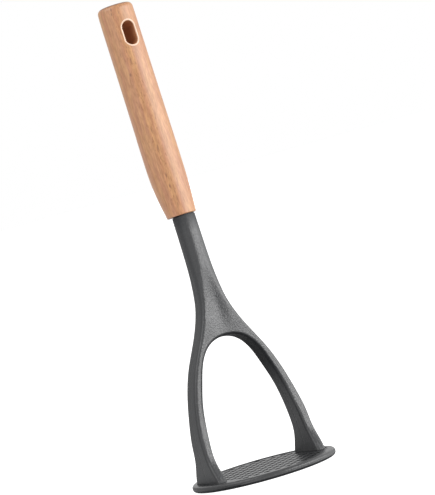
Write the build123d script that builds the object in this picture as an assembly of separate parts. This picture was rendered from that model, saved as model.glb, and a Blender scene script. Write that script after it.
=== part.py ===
# Potato masher: a one-piece nylon head glued into a round beech handle.
# Millimetres. The origin is the centre of the plate's flat underside and +Z stands square on
# the plate. X joins the two feet of the yoke and -Y is the front. The stem, which is the yoke,
# the neck and the handle, leans back from the plate.
import os
from math import sqrt

from build123d import *

# Lean of the stem, in degrees
LEAN = 4.7

# Plate
PLATE_RADIUS = 46.5
PLATE_THICKNESS = 4.4
RIM_ROUND = 2.0
BORDER_WIDTH = 2.6
FIELD_RECESS = 0.4

# Holes of the plate, on the corners of equal triangles, with a turn in degrees against the feet
# and the place of the middle hole
HOLE_RADIUS = 2.2
HOLE_PITCH = 6.9
PATTERN_TURN = 7.0
PATTERN_X = 0.5
PATTERN_Y = 2.6
HOLE_MARGIN = 0.8

# Yoke
HEAD_HEIGHT = 170.0
HALF_SPAN = 39.4
ARM_THICKNESS = 6.4
ARM_ROUND = 2.2
WINDOW_ROUND = 1.9
CROWN_HALF_DEPTH = 6.6
DISH_DEPTH = 1.0
FOOT_HALF_DEPTH = 17.0
ARM_SETBACK = 1.4
ARCH_TOP = 89.7

# Neck and the collar under the handle
NECK_RADIUS = 7.2
NECK_END_ROUND = 0.4
COLLAR_RADIUS = 6.7
COLLAR_HEIGHT = 0.5

# Tang, with grooves that key it into its adhesive
TANG_RADIUS = 4.9
TANG_LENGTH = 55.0
TANG_TIP_CHAMFER = 1.2
GROOVE_COUNT = 4
GROOVE_WIDTH = 3.0
GROOVE_DEPTH = 0.5

# Adhesive round the tang, and the free space over the tang in its socket
BOND_THICKNESS = 0.3
SOCKET_RELIEF = 3.0

# Handle
HANDLE_LENGTH = 139.4
GRIP_RADIUS = 11.7
GRIP_FRONT = 7.6
BUTT_ROUND = 3.0
LOWER_END_ROUND = 0.7

# Hanging slot through the handle
SLOT_WIDTH = 8.0
SLOT_LENGTH = 15.4
SLOT_BELOW_BUTT = 20.0
SLOT_ROUND = 0.8

# How far a cutter runs past what it cuts
OVERRUN = 10.0

NECK_TOP = HEAD_HEIGHT - COLLAR_HEIGHT
FIELD_RADIUS = PLATE_RADIUS - RIM_ROUND - BORDER_WIDTH
SOCKET_RADIUS = TANG_RADIUS + BOND_THICKNESS

# Sections of the arms, from the feet up to the crown: height in shares of the arch's height,
# half width in shares of the way from the neck's radius to the half span, half depth in shares
# of the way from the crown's half depth to the foot's, the arm's width across, slant included,
# in shares of its thickness, the setback in shares of the arms' setback, and the dish of the
# front and back in shares of its depth.
arm_section_shares = (
    (0.078, 1.008, 0.808, 1.00, 1.80, 0.00),
    (0.144, 1.010, 0.519, 0.97, 1.65, 0.00),
    (0.222, 1.002, 0.250, 0.95, 1.35, 0.00),
    (0.333, 0.988, 0.135, 1.01, 1.07, 0.00),
    (0.466, 0.933, 0.043, 1.01, 1.00, 0.00),
    (0.599, 0.844, 0.010, 0.95, 1.00, 0.00),
    (0.732, 0.727, 0.000, 0.97, 0.92, 0.00),
    (0.843, 0.596, 0.000, 0.90, 0.78, 0.50),
    (0.953, 0.430, 0.000, 1.19, 0.55, 1.00),
)

# Sections of the crown and the neck: height in shares of the way from the arch's top to the
# neck's, half width as above, half depth in shares of the way from the crown's half depth to
# the neck's radius, the corners' radius in shares of the half depth, and the setback and the
# dish as above.
neck_section_shares = (
    (0.061, 0.277, 0.00, 0.35, 0.36, 1.00),
    (0.169, 0.157, 0.00, 0.39, 0.20, 0.85),
    (0.277, 0.075, 0.00, 0.49, 0.09, 0.60),
    (0.391, 0.034, 0.07, 0.61, 0.03, 0.30),
    (0.505, 0.014, 0.36, 0.75, 0.00, 0.10),
    (0.630, 0.008, 0.75, 0.88, 0.00, 0.00),
    (0.755, 0.006, 0.95, 0.93, 0.00, 0.00),
    (0.880, 0.003, 1.00, 0.94, 0.00, 0.00),
    (1.000, 0.000, 1.00, 0.94, 0.00, 0.00),
)

# The window's line over the arms: half width in shares of the half span, and height in shares
# of the arch's height.
arch_shoulder_shares = ((0.255, 0.977),)

# Handle from its lower end to its butt: height in shares of the handle's length, and radius in
# shares of the grip's radius.
grip_shares = (
    (0.000, 0.815),
    (0.045, 0.869),
    (0.090, 0.927),
    (0.140, 0.974),
    (0.190, 1.003),
    (0.250, 1.014),
    (0.320, 1.014),
    (0.400, 1.008),
    (0.500, 1.002),
    (0.600, 0.997),
    (0.700, 0.995),
    (0.800, 0.994),
    (0.880, 0.994),
    (0.940, 0.990),
    (1.000, 0.965),
)


def share(start, end, part):
    """The value that lies a given part of the way from start to end."""
    return start + part * (end - start)


def half_width(span_share):
    return share(NECK_RADIUS, HALF_SPAN, span_share)


def dished_side(half_flat, y, dish):
    """A section's front or back line, which dips by the dish in its middle."""
    level = Vector(half_flat, 0)
    ends = Vector(-half_flat, y), Vector(half_flat, y)
    return Spline(ends[0], Vector(0, y + dish), ends[1], tangents=[level, level])


def section(height, half_x, half_y, corner, setback, dish):
    """A level rounded rectangle at a height, set back from the stem's axis, with a dished
    front and back."""
    x = half_x - corner
    y = half_y - corner
    lines = [dished_side(x, -half_y, dish), dished_side(x, half_y, -dish)]
    for side in (-1, 1):
        lines.append(Line(Vector(side * half_x, -y), Vector(side * half_x, y)))
    for quarter, centre in enumerate((Vector(x, y), Vector(-x, y), Vector(-x, -y), Vector(x, -y))):
        lines.append(CenterArc(centre, corner, 90 * quarter, 90))
    return Pos(0, setback, height) * make_face(lines)


def rod(radius, height, start):
    """An upright cylinder that starts at a height."""
    return Pos(0, 0, start) * extrude(Circle(radius), height)


def leaned(shape):
    """A shape of the stem, leant back from the plate."""
    return Rot(-LEAN, 0, 0) * shape


def arm_sections():
    for height_share, span_share, depth_share, _, back_share, dish_share in arm_section_shares:
        height = height_share * ARCH_TOP
        half_depth = share(CROWN_HALF_DEPTH, FOOT_HALF_DEPTH, depth_share)
        setback = back_share * ARM_SETBACK
        dish = dish_share * DISH_DEPTH
        yield section(height, half_width(span_share), half_depth, ARM_ROUND, setback, dish)


def neck_sections():
    for row in neck_section_shares:
        height_share, span_share, depth_share, round_share, back_share, dish_share = row
        height = share(ARCH_TOP, NECK_TOP, height_share)
        half_depth = share(CROWN_HALF_DEPTH, NECK_RADIUS, depth_share)
        corner = round_share * half_depth
        setback = back_share * ARM_SETBACK
        dish = dish_share * DISH_DEPTH
        yield section(height, half_width(span_share), half_depth, corner, setback, dish)


def stem_body():
    """Arms, crown and neck as one smooth body that starts inside the plate."""
    _, span_share, _, _, back_share, _ = arm_section_shares[0]
    setback = back_share * ARM_SETBACK
    start = PLATE_THICKNESS / 2
    foot = section(start, half_width(span_share), FOOT_HALF_DEPTH, ARM_ROUND, setback, 0)
    body = loft([foot, *arm_sections(), *neck_sections()])
    neck_end = body.faces().sort_by(Axis.Z)[-1]
    return fillet(neck_end.edges(), NECK_END_ROUND)


def window():
    """The opening between the arms: a pointed arch with a round top."""
    side = []
    for height_share, span_share, _, slant_share, _, _ in arm_section_shares:
        inner = half_width(span_share) - slant_share * ARM_THICKNESS
        side.append(Vector(inner, height_share * ARCH_TOP))
    foot = Vector(side[0].X, 0)
    side += [Vector(x * HALF_SPAN, z * ARCH_TOP) for x, z in arch_shoulder_shares]
    other_side = [Vector(-p.X, p.Y) for p in reversed(side)]
    other_foot = Vector(-foot.X, 0)
    arch = Spline([foot, *side, Vector(0, ARCH_TOP), *other_side, other_foot])
    outline = make_face([arch, Line(other_foot, foot)])
    reach = FOOT_HALF_DEPTH + OVERRUN
    return extrude(Plane.XZ.offset(-reach) * outline, reach * 2)


def yoke():
    """The stem's body with its window cut and the window's two mouths rounded."""
    opened = stem_body() - window()
    mouths = []
    for edge in opened.edges():
        box = edge.bounding_box()
        if box.min.X < -NECK_RADIUS and box.max.X > NECK_RADIUS:
            mouths.append(edge)
    return fillet(mouths, WINDOW_ROUND)


def tang():
    """The collar and the grooved rod that the handle is glued to."""
    shaft = rod(TANG_RADIUS, TANG_LENGTH, HEAD_HEIGHT)
    tip = shaft.edges().group_by(Axis.Z)[-1]
    shaft = chamfer(tip, TANG_TIP_CHAMFER)
    pitch = TANG_LENGTH / (GROOVE_COUNT + 1)
    ring = Circle(TANG_RADIUS + OVERRUN) - Circle(TANG_RADIUS - GROOVE_DEPTH)
    for n in range(GROOVE_COUNT):
        start = HEAD_HEIGHT + (n + 1) * pitch - GROOVE_WIDTH / 2
        shaft -= Pos(0, 0, start) * extrude(ring, GROOVE_WIDTH)
    return rod(COLLAR_RADIUS, COLLAR_HEIGHT, NECK_TOP) + shaft


def under_a_foot(x, y):
    """Whether a hole here would break into a foot of the yoke."""
    reach = HOLE_RADIUS + HOLE_MARGIN
    beside = abs(x) + reach < HALF_SPAN - ARM_THICKNESS
    before = abs(y) - reach > FOOT_HALF_DEPTH
    return not beside and not before


def hole_places():
    """Centres of the holes, row by row, that fit in the plate's field."""
    row_step = HOLE_PITCH * sqrt(3) / 2
    middle = Vector(PATTERN_X, PATTERN_Y)
    count = int(PLATE_RADIUS / row_step) + 1
    for row in range(-count, count + 1):
        for step in range(-count, count + 1):
            corner = Vector(row * row_step, (step + (row % 2) / 2) * HOLE_PITCH)
            place = corner.rotate(Axis.Z, PATTERN_TURN) + middle
            inside = place.length + HOLE_RADIUS + HOLE_MARGIN <= FIELD_RADIUS
            if inside and not under_a_foot(place.X, place.Y):
                yield place


def plate():
    """The round mashing plate, with its holes in a shallow field."""
    disc = extrude(Circle(PLATE_RADIUS), PLATE_THICKNESS)
    disc = fillet(disc.edges(), RIM_ROUND)
    disc -= rod(FIELD_RADIUS, FIELD_RECESS + OVERRUN, PLATE_THICKNESS - FIELD_RECESS)
    holes = Sketch() + [Pos(place) * Circle(HOLE_RADIUS) for place in hole_places()]
    return disc - Pos(0, 0, -OVERRUN) * extrude(holes, PLATE_THICKNESS + OVERRUN * 2)


def masher_head():
    """The whole nylon moulding, from the plate to the tip of the tang."""
    return plate() + leaned(yoke() + tang())


def tang_adhesive():
    """The glue between the tang and the wall of its socket."""
    height = TANG_LENGTH - TANG_TIP_CHAMFER
    return leaned(rod(SOCKET_RADIUS, height, HEAD_HEIGHT) - tang())


def grip():
    """The turned body of the handle, straight along its front."""
    circles = []
    for height_share, radius_share in grip_shares:
        radius = radius_share * GRIP_RADIUS
        height = HEAD_HEIGHT + height_share * HANDLE_LENGTH
        circles.append(Pos(0, radius - GRIP_FRONT, height) * Circle(radius))
    body = loft(circles)
    body = fillet(body.edges().group_by(Axis.Z)[-1], BUTT_ROUND)
    return fillet(body.edges().group_by(Axis.Z)[0], LOWER_END_ROUND)


def slot_cutter():
    """The hanging slot's space, from front to back."""
    height = HEAD_HEIGHT + HANDLE_LENGTH - SLOT_BELOW_BUTT
    outline = Pos(0, height) * SlotOverall(SLOT_LENGTH, SLOT_WIDTH, rotation=90)
    reach = GRIP_RADIUS * 2 + OVERRUN
    return extrude(Plane.XZ.offset(-reach) * outline, reach * 2)


def handle():
    """The beech handle with its hanging slot and its blind socket."""
    body = grip() - slot_cutter()
    mouths = []
    for edge in body.edges():
        box = edge.bounding_box()
        clear_of_ends = box.min.Z > HEAD_HEIGHT + HANDLE_LENGTH / 2
        if clear_of_ends and box.max.X < SLOT_WIDTH and box.min.X > -SLOT_WIDTH:
            if box.size.Y < GRIP_RADIUS:
                mouths.append(edge)
    body = fillet(mouths, SLOT_ROUND)
    return leaned(body - rod(SOCKET_RADIUS, TANG_LENGTH + SOCKET_RELIEF, HEAD_HEIGHT))


os.makedirs("parts", exist_ok=True)
export_step(masher_head(), "parts/masher_head.step")
export_step(tang_adhesive(), "parts/tang_adhesive.step")
export_step(handle(), "parts/handle.step")
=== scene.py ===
"""Potato masher: a one-piece nylon head glued into a round beech handle, in a white studio."""
from math import cos, radians, sin

import bpy
from mathutils import Matrix, Vector

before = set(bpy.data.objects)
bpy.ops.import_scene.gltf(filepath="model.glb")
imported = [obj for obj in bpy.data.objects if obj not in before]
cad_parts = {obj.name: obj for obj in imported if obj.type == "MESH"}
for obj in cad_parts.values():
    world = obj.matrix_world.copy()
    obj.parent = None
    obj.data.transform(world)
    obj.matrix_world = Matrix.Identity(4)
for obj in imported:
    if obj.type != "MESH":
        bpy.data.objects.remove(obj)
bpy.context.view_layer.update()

MM = 0.001
LEAN = radians(4.7)


def leaned(point):
    """A point of the upright stem, in mm, as metres where the stem leans back: it is turned
    about X by the lean."""
    x, y, z = point
    return Vector((x, y * cos(LEAN) + z * sin(LEAN), z * cos(LEAN) - y * sin(LEAN))) * MM


# The camera stands at a place in the upright stem's mm, to the front left. Its azimuth is
# positive to the left, its elevation is negative where it looks slightly up, and its roll leans
# the masher to the left.
CAMERA_PLACE = (-843.92, -1688.17, 73.66)
CAMERA_AZIMUTH = radians(27.0)
CAMERA_ELEVATION = radians(-2.1291)
CAMERA_ROLL = radians(-17.6406)
PICTURE_HEIGHT_PIXELS = 495
FOCAL_PIXELS = 3000
SENSOR_WIDTH = 36.0
FARTHEST_SEEN = 20.0


def add_camera():
    data = bpy.data.cameras.new("camera")
    data.sensor_width = SENSOR_WIDTH
    data.lens = FOCAL_PIXELS * SENSOR_WIDTH / PICTURE_HEIGHT_PIXELS
    data.clip_end = FARTHEST_SEEN
    camera = bpy.data.objects.new("camera", data)
    bpy.context.scene.collection.objects.link(camera)
    place = Matrix.Translation(leaned(CAMERA_PLACE))
    turn = Matrix.Rotation(-LEAN, 4, "X") @ Matrix.Rotation(-CAMERA_AZIMUTH, 4, "Z")
    tilt = Matrix.Rotation(radians(90) - CAMERA_ELEVATION, 4, "X") @ Matrix.Rotation(CAMERA_ROLL, 4, "Z")
    camera.matrix_world = place @ turn @ tilt
    bpy.context.scene.camera = camera


# Materials
COORDINATES = "ShaderNodeTexCoord"
NOISE = "ShaderNodeTexNoise"
RANGE = "ShaderNodeMapRange"
MATH = "ShaderNodeMath"
VECTOR_MATH = "ShaderNodeVectorMath"
SEPARATE = "ShaderNodeSeparateXYZ"
MIX = "ShaderNodeMix"
BUMP = "ShaderNodeBump"
MIX_COLOURS = {"data_type": "RGBA"}
MULTIPLY_COLOURS = {"data_type": "RGBA", "blend_type": "MULTIPLY"}
# A colour mix's sockets, which share their names with those for numbers.
SHARE, COLOUR_A, COLOUR_B, MIXED = 0, 6, 7, 2


def linear(hex_colour):
    """An sRGB hex colour as linear light, with alpha 1."""
    shares = [int(hex_colour[i:i + 2], 16) / 255 for i in (1, 3, 5)]
    light = [v / 12.92 if v <= 0.04045 else ((v + 0.055) / 1.055) ** 2.4 for v in shares]
    return (*light, 1.0)


def add_node(tree, kind, settings=None, inputs=None, links=None):
    """Adds one node: its settings, its inputs' values, and links from sockets to its inputs."""
    node = tree.nodes.new(kind)
    for name, value in (settings or {}).items():
        setattr(node, name, value)
    for name, value in (inputs or {}).items():
        node.inputs[name].default_value = value
    for name, socket in (links or {}).items():
        tree.links.new(socket, node.inputs[name])
    return node


def new_material(name):
    """A new material, its node tree and its shader."""
    material = bpy.data.materials.new(name)
    material.use_nodes = True
    tree = material.node_tree
    return material, tree, tree.nodes["Principled BSDF"]


def stem_space(tree, width, length, place=(0, 0, 0)):
    """Coordinates from a place on the upright stem, in mm: one unit is a width across and a
    length along the stem."""
    coordinates = add_node(tree, COORDINATES).outputs["Object"]
    inputs = {
        "Location": leaned(place),
        "Rotation": (-LEAN, 0, 0),
        "Scale": (width * MM, width * MM, length * MM),
    }
    settings = {"vector_type": "TEXTURE"}
    return add_node(tree, "ShaderNodeMapping", settings, inputs, {"Vector": coordinates}).outputs[0]


def shaded(tree, colour, layers):
    """A colour multiplied by layers of noise. Each layer has a width across the stem and a length
    along it in mm, the noise's detail, and the shares of red, green and blue that are left where
    it is darkest and lightest."""
    for width, length, detail, dark, light in layers:
        noise = add_node(
            tree, NOISE, inputs={"Scale": 1.0, "Detail": detail},
            links={"Vector": stem_space(tree, width, length)},
        )
        level = add_node(
            tree, RANGE, inputs={"From Min": 0.3, "From Max": 0.7}, links={"Value": noise.outputs[0]},
        )
        share = add_node(
            tree, MIX, MIX_COLOURS, {COLOUR_A: (*dark, 1), COLOUR_B: (*light, 1)}, {SHARE: level.outputs[0]},
        )
        colour = add_node(
            tree, MIX, MULTIPLY_COLOURS, {SHARE: 1.0}, {COLOUR_A: colour, COLOUR_B: share.outputs[MIXED]},
        ).outputs[MIXED]
    return colour


# Brown flecks and a knot on the handle's front: place in the upright stem's mm, half width and
# half length in mm, and darkness.
FLECKS = (
    ((-7.7, -4.7, 263.5), 0.8, 1.2, 0.85),
    ((-7.2, -5.0, 306.3), 0.7, 1.4, 0.75),
    ((-7.6, -4.7, 303.5), 0.6, 1.2, 0.55),
    ((-3.6, -7.0, 303.4), 0.5, 1.8, 0.50),
    ((-9.3, -2.8, 277.5), 0.4, 2.2, 0.60),
    ((-5.3, -6.3, 272.1), 0.5, 2.4, 0.60),
    ((-3.1, -7.1, 269.8), 0.4, 1.6, 0.45),
    ((-6.0, -5.9, 226.5), 0.5, 2.4, 0.65),
    ((-5.6, -6.2, 214.4), 0.5, 2.4, 0.80),
    ((-5.9, -5.9, 208.0), 0.4, 1.4, 0.60),
    ((-5.9, -6.0, 196.7), 0.5, 2.0, 0.75),
    ((-5.8, -6.0, 189.4), 0.5, 1.6, 0.75),
    ((-3.8, -6.9, 185.4), 0.4, 1.8, 0.60),
    ((-3.6, -6.9, 180.8), 0.5, 2.6, 0.65),
    ((-4.3, -6.6, 177.1), 0.4, 1.6, 0.45),
)


def flecks(tree):
    """How dark the flecks are: each one is a long ellipsoid with a soft edge."""
    total = None
    for place, half_width, half_length, darkness in FLECKS:
        near = stem_space(tree, half_width, half_length, place)
        far = add_node(tree, VECTOR_MATH, {"operation": "LENGTH"}, links={0: near})
        mask = add_node(
            tree, RANGE, inputs={"From Min": 0.3, "From Max": 1.2, "To Min": darkness, "To Max": 0.0},
            links={"Value": far.outputs["Value"]},
        ).outputs[0]
        if total:
            mask = add_node(tree, MATH, {"operation": "MAXIMUM"}, links={0: total, 1: mask}).outputs[0]
        total = mask
    return total


# The hanging slot and the wood's year rings, in the upright stem's mm: the slot's centre and the
# length of its middle line, the tree's pith beside the handle, and the middle of the band, left
# of the front, where the rings lie flat.
SLOT_CENTRE = (0, 4.1, 289.4)
SLOT_MIDDLE_LINE = 7.4
PITH = (-26.0, 30.0, 240.0)
FLAT_RINGS = (-4.5, 0, 0)


def slot_distance(tree):
    """Distance in mm from the middle line of the slot, whose walls are 4 mm from it."""
    place = add_node(tree, SEPARATE, links={0: stem_space(tree, 1.0, 1.0, SLOT_CENTRE)})
    reach = add_node(tree, MATH, {"operation": "ABSOLUTE"}, links={0: place.outputs["Z"]})
    beyond = add_node(
        tree, MATH, {"operation": "SUBTRACT"}, {1: SLOT_MIDDLE_LINE / 2}, {0: reach.outputs[0]},
    )
    beyond = add_node(tree, MATH, {"operation": "MAXIMUM"}, {1: 0.0}, {0: beyond.outputs[0]})
    offset = add_node(tree, "ShaderNodeCombineXYZ", links={0: place.outputs["X"], 2: beyond.outputs[0]})
    length = add_node(tree, VECTOR_MATH, {"operation": "LENGTH"}, links={0: offset.outputs[0]})
    return length.outputs["Value"]


def ray_flecks(tree):
    """Where the beech's short ray flecks are. They are strong on the band where the year rings
    lie flat and faint beside it."""
    patches = add_node(
        tree, NOISE, inputs={"Scale": 1.0, "Detail": 1.0}, links={"Vector": stem_space(tree, 0.8, 3.2)},
    )
    rays = add_node(
        tree, RANGE, inputs={"From Min": 0.56, "From Max": 0.70, "To Max": 0.8},
        links={"Value": patches.outputs[0]},
    )
    band = add_node(tree, SEPARATE, links={0: stem_space(tree, 1.0, 1.0, FLAT_RINGS)})
    beside = add_node(tree, MATH, {"operation": "ABSOLUTE"}, links={0: band.outputs["X"]})
    flat = add_node(
        tree, RANGE, inputs={"From Min": 2.0, "From Max": 6.5, "To Min": 1.0, "To Max": 0.15},
        links={"Value": beside.outputs[0]},
    )
    mask = add_node(
        tree, MATH, {"operation": "MULTIPLY"}, links={0: rays.outputs[0], 1: flat.outputs[0]},
    )
    return mask.outputs[0]


def end_grain(tree):
    """Where the wood faces up or down the stem."""
    normal = add_node(tree, COORDINATES).outputs["Normal"]
    along = add_node(
        tree, VECTOR_MATH, {"operation": "DOT_PRODUCT"}, {1: leaned((0, 0, 1)).normalized()}, {0: normal},
    )
    size = add_node(tree, MATH, {"operation": "ABSOLUTE"}, links={0: along.outputs["Value"]})
    mask = add_node(tree, RANGE, inputs={"From Min": 0.6, "From Max": 0.85}, links={"Value": size.outputs[0]})
    return mask.outputs[0]


def turned_beech():
    """Beech, turned, sanded and oiled: pale tan that drifts from pinkish to straw, with long soft
    streaks of the year rings, fine fibres, short brown ray flecks, darker end grain and a satin
    sheen. The slot's rounded rim has a pale painted highlight and its routed walls are dark."""
    material, tree, shader = new_material("turned_beech")
    drift = add_node(
        tree, NOISE, inputs={"Scale": 1.0, "Detail": 2.0}, links={"Vector": stem_space(tree, 3.4, 26.0)},
    )
    tone = add_node(
        tree, RANGE, inputs={"From Min": 0.35, "From Max": 0.65}, links={"Value": drift.outputs[0]},
    )
    tones = {COLOUR_A: linear("#B77E58"), COLOUR_B: linear("#C28E5C")}
    colour = add_node(tree, MIX, MIX_COLOURS, tones, {SHARE: tone.outputs[0]}).outputs[MIXED]
    rings = add_node(
        tree, "ShaderNodeTexWave", {"wave_type": "RINGS", "rings_direction": "Z"},
        {"Scale": 0.09, "Distortion": 3.0, "Detail": 2.0, "Detail Scale": 0.5},
        {"Vector": stem_space(tree, 1.0, 16.0, PITH)},
    )
    ring_shade = add_node(
        tree, RANGE, inputs={"To Min": 0.94, "To Max": 1.04}, links={"Value": rings.outputs["Fac"]},
    )
    colour = add_node(
        tree, MIX, MULTIPLY_COLOURS, {SHARE: 1.0}, {COLOUR_A: colour, COLOUR_B: ring_shade.outputs[0]},
    ).outputs[MIXED]
    # Fibres are drawn several times as coarse as they are, so that they show.
    colour = shaded(tree, colour, (
        (2.0, 14.0, 3.0, (0.92, 0.89, 0.86), (1.07, 1.09, 1.12)),
        (0.9, 5.0, 3.0, (0.83, 0.77, 0.68), (1.13, 1.17, 1.25)),
    ))
    # The painted highlight on the slot's rim and the routed walls start and end at these distances from the
    # middle line.
    from_slot = slot_distance(tree)
    # Painted highlight: a pale colour on the slot's rounded rim stands in for the light that falls on it.
    painted_rim_highlight = add_node(tree, RANGE, inputs={"From Min": 5.3, "From Max": 5.0}, links={"Value": from_slot})
    routed = add_node(tree, RANGE, inputs={"From Min": 4.35, "From Max": 4.15}, links={"Value": from_slot})
    for mask, settings, hex_colour in (
        (ray_flecks(tree), MIX_COLOURS, "#9A623A"),
        (flecks(tree), MIX_COLOURS, "#7D4F33"),
        (end_grain(tree), MULTIPLY_COLOURS, "#A89684"),
        # The pale colour here is a painted highlight on the slot's rounded rim.
        (painted_rim_highlight.outputs[0], MIX_COLOURS, "#EBCDB4"),
        (routed.outputs[0], MIX_COLOURS, "#BC8560"),
    ):
        colour = add_node(
            tree, MIX, settings, {COLOUR_B: linear(hex_colour)}, {SHARE: mask, COLOUR_A: colour},
        ).outputs[MIXED]
    tree.links.new(colour, shader.inputs["Base Color"])

    fibres = add_node(
        tree, NOISE, inputs={"Scale": 1.0, "Detail": 2.0}, links={"Vector": stem_space(tree, 0.7, 8.0)},
    )
    bump = add_node(
        tree, BUMP, inputs={"Strength": 0.25, "Distance": 0.1 * MM}, links={"Height": fibres.outputs[0]},
    )
    tree.links.new(bump.outputs[0], shader.inputs["Normal"])
    # The routed walls are bare and matt, and the turned face has a satin oil finish.
    for name, finished, bare in (("Roughness", 0.45, 1.0), ("Specular IOR Level", 0.95, 0.05)):
        value = add_node(
            tree, RANGE, inputs={"To Min": finished, "To Max": bare}, links={"Value": routed.outputs[0]},
        )
        tree.links.new(value.outputs[0], shader.inputs[name])
    shader.inputs["IOR"].default_value = 1.48
    return material


# The nylon head, in the upright stem's mm. The arms' middle lies behind the neck's axis by the
# setback, which fades out between the two heights.
YOKE_SETBACK = 1.4
SETBACK_FROM, SETBACK_TO = 62.0, 118.0
RIM_LINE_HEIGHT = 2.2
LINE_CORE, LINE_EDGE = 0.15, 0.45
SINK_CENTRE = (-1.5, -8.0, 112.0)
SINK_HALF_WIDTH, SINK_HALF_LENGTH, SINK_DEPTH = 12.0, 24.0, 1.1


def parting_lines(tree):
    """Where the mould's halves met: a fine line along the middle of the stem's sides and another
    one round the plate's rim."""
    place = add_node(tree, SEPARATE, links={0: stem_space(tree, 1.0, 1.0)})
    setback = add_node(
        tree, RANGE, {"interpolation_type": "SMOOTHSTEP"},
        {"From Min": SETBACK_FROM, "From Max": SETBACK_TO, "To Min": YOKE_SETBACK, "To Max": 0.0},
        {"Value": place.outputs["Z"]},
    )
    across = add_node(
        tree, MATH, {"operation": "SUBTRACT"}, links={0: place.outputs["Y"], 1: setback.outputs[0]},
    )
    above_plate = add_node(
        tree, RANGE, inputs={"From Min": 6.0, "From Max": 12.0}, links={"Value": place.outputs["Z"]},
    )
    coordinates = add_node(tree, COORDINATES).outputs["Object"]
    from_rim = add_node(
        tree, VECTOR_MATH, {"operation": "SUBTRACT"}, {1: (0, 0, RIM_LINE_HEIGHT * MM)}, {0: coordinates},
    )
    rim_height = add_node(tree, SEPARATE, links={0: from_rim.outputs[0]}).outputs["Z"]
    lines = []
    for distance, unit in ((across.outputs[0], 1.0), (rim_height, MM)):
        size = add_node(tree, MATH, {"operation": "ABSOLUTE"}, links={0: distance})
        line = add_node(
            tree, RANGE,
            inputs={"From Min": LINE_CORE * unit, "From Max": LINE_EDGE * unit, "To Min": 1.0, "To Max": 0.0},
            links={"Value": size.outputs[0]},
        )
        lines.append(line.outputs[0])
    stem_line, rim_line = lines
    stem_line = add_node(
        tree, MATH, {"operation": "MULTIPLY"}, links={0: stem_line, 1: above_plate.outputs[0]},
    )
    both = add_node(tree, MATH, {"operation": "MAXIMUM"}, links={0: stem_line.outputs[0], 1: rim_line})
    return both.outputs[0]


def sides_and_walls(tree):
    """Two masks: the stem's sides, which face left or right, with a share of the plate's top, and
    the upper walls of the yoke's window with the walls of the plate's holes, all that faces down
    and the neck's end, which is dulled by glue and wiping."""
    coordinates = add_node(tree, COORDINATES)
    place = add_node(tree, SEPARATE, links={0: coordinates.outputs["Object"]}).outputs
    normal = add_node(tree, SEPARATE, links={0: coordinates.outputs["Normal"]}).outputs
    sideways = add_node(tree, MATH, {"operation": "ABSOLUTE"}, links={0: normal["X"]}).outputs[0]
    outward = add_node(
        tree, MATH, {"operation": "MULTIPLY"}, links={0: place["X"], 1: normal["X"]},
    ).outputs[0]
    flat = add_node(tree, VECTOR_MATH, {"operation": "MULTIPLY"}, {1: (1, 1, 0)}, {
        0: coordinates.outputs["Object"],
    })
    radius = add_node(tree, VECTOR_MATH, {"operation": "LENGTH"}, links={0: flat.outputs[0]}).outputs["Value"]
    along = add_node(tree, SEPARATE, links={0: stem_space(tree, 1.0, 1.0)}).outputs["Z"]
    # Each mask has a value, where it starts and is full, and how strong it gets. Places are in
    # metres from the plate's underside and middle, and the neck's end is in mm along the stem.
    masks = {}
    for name, value, start, full, most in (
        ("faces_side", sideways, 0.55, 0.85, 1.0),
        ("plate_top", normal["Z"], 0.85, 0.95, 0.15),
        ("faces_in", outward, -3 * MM, -9 * MM, 1.0),
        ("high_up", place["Z"], 38 * MM, 66 * MM, 1.0),
        ("inside_border", radius, 42.5 * MM, 42 * MM, 1.0),
        ("below_top", place["Z"], 4.4 * MM, 4.1 * MM, 1.0),
        ("upright", normal["Z"], 0.6, 0.4, 1.0),
        ("faces_down", normal["Z"], -0.1, -0.4, 1.0),
        ("neck_end", along, 158.0, 169.8, 0.5),
    ):
        mask = add_node(
            tree, RANGE, inputs={"From Min": start, "From Max": full, "To Max": most}, links={"Value": value},
        )
        masks[name] = mask.outputs[0]
    for name, operation, first, *others in (
        ("side", "MAXIMUM", "faces_side", "plate_top"),
        ("window_wall", "MULTIPLY", "faces_in", "high_up"),
        ("hole_wall", "MULTIPLY", "inside_border", "below_top", "upright"),
        ("wall", "MAXIMUM", "window_wall", "faces_down", "hole_wall", "neck_end"),
    ):
        masks[name] = masks[first]
        for other in others:
            both = {0: masks[name], 1: masks[other]}
            masks[name] = add_node(tree, MATH, {"operation": operation}, links=both).outputs[0]
    return masks["side"], masks["wall"]


def shoulder_sink(tree):
    """Height, 0 to 1, of the soft bowl that the thick shoulder over the window sank to as it
    cooled. It rises from its middle to its edge."""
    near = stem_space(tree, SINK_HALF_WIDTH, SINK_HALF_LENGTH, SINK_CENTRE)
    far = add_node(tree, VECTOR_MATH, {"operation": "LENGTH"}, links={0: near})
    height = add_node(
        tree, RANGE, {"interpolation_type": "SMOOTHSTEP"}, links={"Value": far.outputs["Value"]},
    )
    return height.outputs[0]


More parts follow.
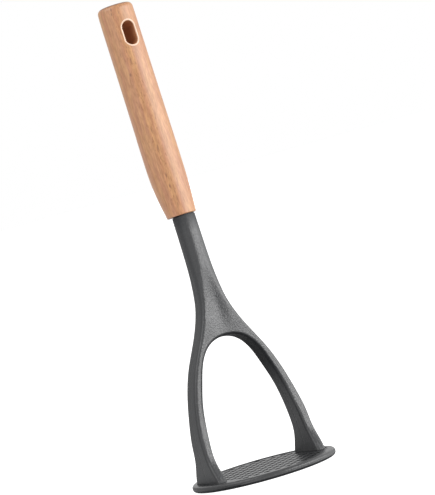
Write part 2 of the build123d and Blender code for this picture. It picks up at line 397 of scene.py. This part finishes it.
def moulded_nylon():
    """Glass-filled nylon from an eroded mould: dark neutral grey and matt, with a fine grain, faint
    flow clouds and the mould's parting lines. The sides dragged along the mould as it opened and
    are duller than the front and back, and the window's walls come from the coarse core."""
    material, tree, shader = new_material("moulded_nylon")
    base = add_node(tree, "ShaderNodeRGB")
    base.outputs[0].default_value = linear("#27282A")
    # The grain is drawn a few times as coarse as it is, so that it shows.
    colour = shaded(tree, base.outputs[0], (
        (1.0, 1.0, 2.0, (0.80, 0.80, 0.80), (1.20, 1.20, 1.20)),
        (14.0, 22.0, 2.0, (0.95, 0.95, 0.95), (1.05, 1.05, 1.05)),
    ))
    lines = parting_lines(tree)
    colour = add_node(
        tree, MIX, MIX_COLOURS, {COLOUR_B: linear("#2A2B2D")}, {SHARE: lines, COLOUR_A: colour},
    ).outputs[MIXED]
    tree.links.new(colour, shader.inputs["Base Color"])
    grain = add_node(
        tree, NOISE, inputs={"Scale": 1.0, "Detail": 2.0}, links={"Vector": stem_space(tree, 0.9, 0.9)},
    )
    relief = add_node(tree, MATH, {"operation": "SUBTRACT"}, links={0: grain.outputs[0], 1: lines})
    hollow = add_node(
        tree, BUMP, inputs={"Strength": 1.0, "Distance": SINK_DEPTH * MM},
        links={"Height": shoulder_sink(tree)},
    )
    bump = add_node(
        tree, BUMP, inputs={"Strength": 1.0, "Distance": 0.2 * MM},
        links={"Height": relief.outputs[0], "Normal": hollow.outputs[0]},
    )
    tree.links.new(bump.outputs[0], shader.inputs["Normal"])
    side, wall = sides_and_walls(tree)
    for name, on_faces, on_sides, on_walls in (
        ("Roughness", 0.3, 0.6, 0.85),
        ("Specular IOR Level", 0.64, 0.42, 0.15),
    ):
        outside = add_node(
            tree, RANGE, inputs={"To Min": on_faces, "To Max": on_sides}, links={"Value": side},
        )
        value = add_node(
            tree, RANGE, inputs={"To Max": on_walls}, links={"Value": wall, "To Min": outside.outputs[0]},
        )
        tree.links.new(value.outputs[0], shader.inputs[name])
    shader.inputs["IOR"].default_value = 1.53
    return material


def cured_epoxy():
    """Two-part epoxy, squeezed out and cured: amber, slightly cloudy, glossy."""
    material, tree, shader = new_material("cured_epoxy")
    base = add_node(tree, "ShaderNodeRGB")
    base.outputs[0].default_value = linear("#D6BB82")
    colour = shaded(tree, base.outputs[0], (
        (2.0, 6.0, 2.0, (0.88, 0.86, 0.80), (1.06, 1.06, 1.06)),
    ))
    tree.links.new(colour, shader.inputs["Base Color"])
    shader.inputs["Roughness"].default_value = 0.2
    shader.inputs["IOR"].default_value = 1.55
    return material


def dress(node, material):
    """Gives a CAD node its material."""
    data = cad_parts[node].data
    data.materials.clear()
    data.materials.append(material)


# Studio, in metres
FLOOR_HALF = 15.0
ROOM_LIGHT = 0.5
LAMP_AIM = Vector((0, 0, 0.15))
LAMP_DISTANCE = 1.5
# Soft boxes: name, azimuth to the left and elevation in degrees, width, height and power.
LAMPS = (
    ("key", -46, 8, 0.45, 1.0, 10),
    ("second", -20, 8, 0.35, 1.0, 9),
    ("side", -75, 10, 0.8, 0.8, 5),
    ("fill", 80, 40, 1.0, 1.0, 10),
)


def seen_rays(tree):
    """1 for rays that show the background: from the camera, reflected or let through."""
    rays = add_node(tree, "ShaderNodeLightPath").outputs
    seen = rays["Is Camera Ray"]
    for kind in ("Is Glossy Ray", "Is Transmission Ray"):
        seen = add_node(tree, MATH, {"operation": "MAXIMUM"}, links={0: seen, 1: rays[kind]}).outputs[0]
    return seen


def add_floor():
    """A pale floor that shows white to the camera and keeps the masher's shadow."""
    half = FLOOR_HALF
    corners = [(-half, -half, 0), (half, -half, 0), (half, half, 0), (-half, half, 0)]
    mesh = bpy.data.meshes.new("floor")
    mesh.from_pydata(corners, [], [(0, 1, 2, 3)])
    floor = bpy.data.objects.new("floor", mesh)
    bpy.context.scene.collection.objects.link(floor)
    material, tree, shader = new_material("studio_floor")
    shader.inputs["Base Color"].default_value = linear("#B8B8B8")
    shader.inputs["Roughness"].default_value = 1.0
    glow = add_node(tree, "ShaderNodeEmission", links={"Strength": seen_rays(tree)})
    both = add_node(tree, "ShaderNodeAddShader", links={0: shader.outputs[0], 1: glow.outputs[0]})
    tree.links.new(both.outputs[0], tree.nodes["Material Output"].inputs["Surface"])
    mesh.materials.append(material)


def add_world():
    """A white room that lights the masher from all round and shows white to the camera."""
    world = bpy.data.worlds.new("studio")
    bpy.context.scene.world = world
    world.use_nodes = True
    tree = world.node_tree
    room = tree.nodes["Background"]
    room.inputs["Color"].default_value = (1, 1, 1, 1)
    room.inputs["Strength"].default_value = ROOM_LIGHT
    white = add_node(tree, "ShaderNodeBackground", inputs={"Color": (1, 1, 1, 1)})
    pick = add_node(
        tree, "ShaderNodeMixShader", links={0: seen_rays(tree), 1: room.outputs[0], 2: white.outputs[0]},
    )
    tree.links.new(pick.outputs[0], tree.nodes["World Output"].inputs["Surface"])


def add_lamp(name, azimuth, elevation, width, height, power):
    """A soft box that faces the masher's middle from an azimuth and an elevation."""
    a, e = radians(azimuth), radians(elevation)
    way = Vector((-sin(a) * cos(e), -cos(a) * cos(e), sin(e)))
    data = bpy.data.lights.new(name, "AREA")
    data.shape = "RECTANGLE"
    data.size = width
    data.size_y = height
    data.energy = power
    lamp = bpy.data.objects.new(name, data)
    bpy.context.scene.collection.objects.link(lamp)
    turn = way.to_track_quat("Z", "Y").to_matrix().to_4x4()
    lamp.matrix_world = Matrix.Translation(LAMP_AIM + way * LAMP_DISTANCE) @ turn


add_camera()
dress("handle", turned_beech())
dress("masher_head", moulded_nylon())
dress("tang_adhesive", cured_epoxy())
add_floor()
add_world()
for lamp in LAMPS:
    add_lamp(*lamp)
bpy.context.scene.view_settings.view_transform = "Standard"
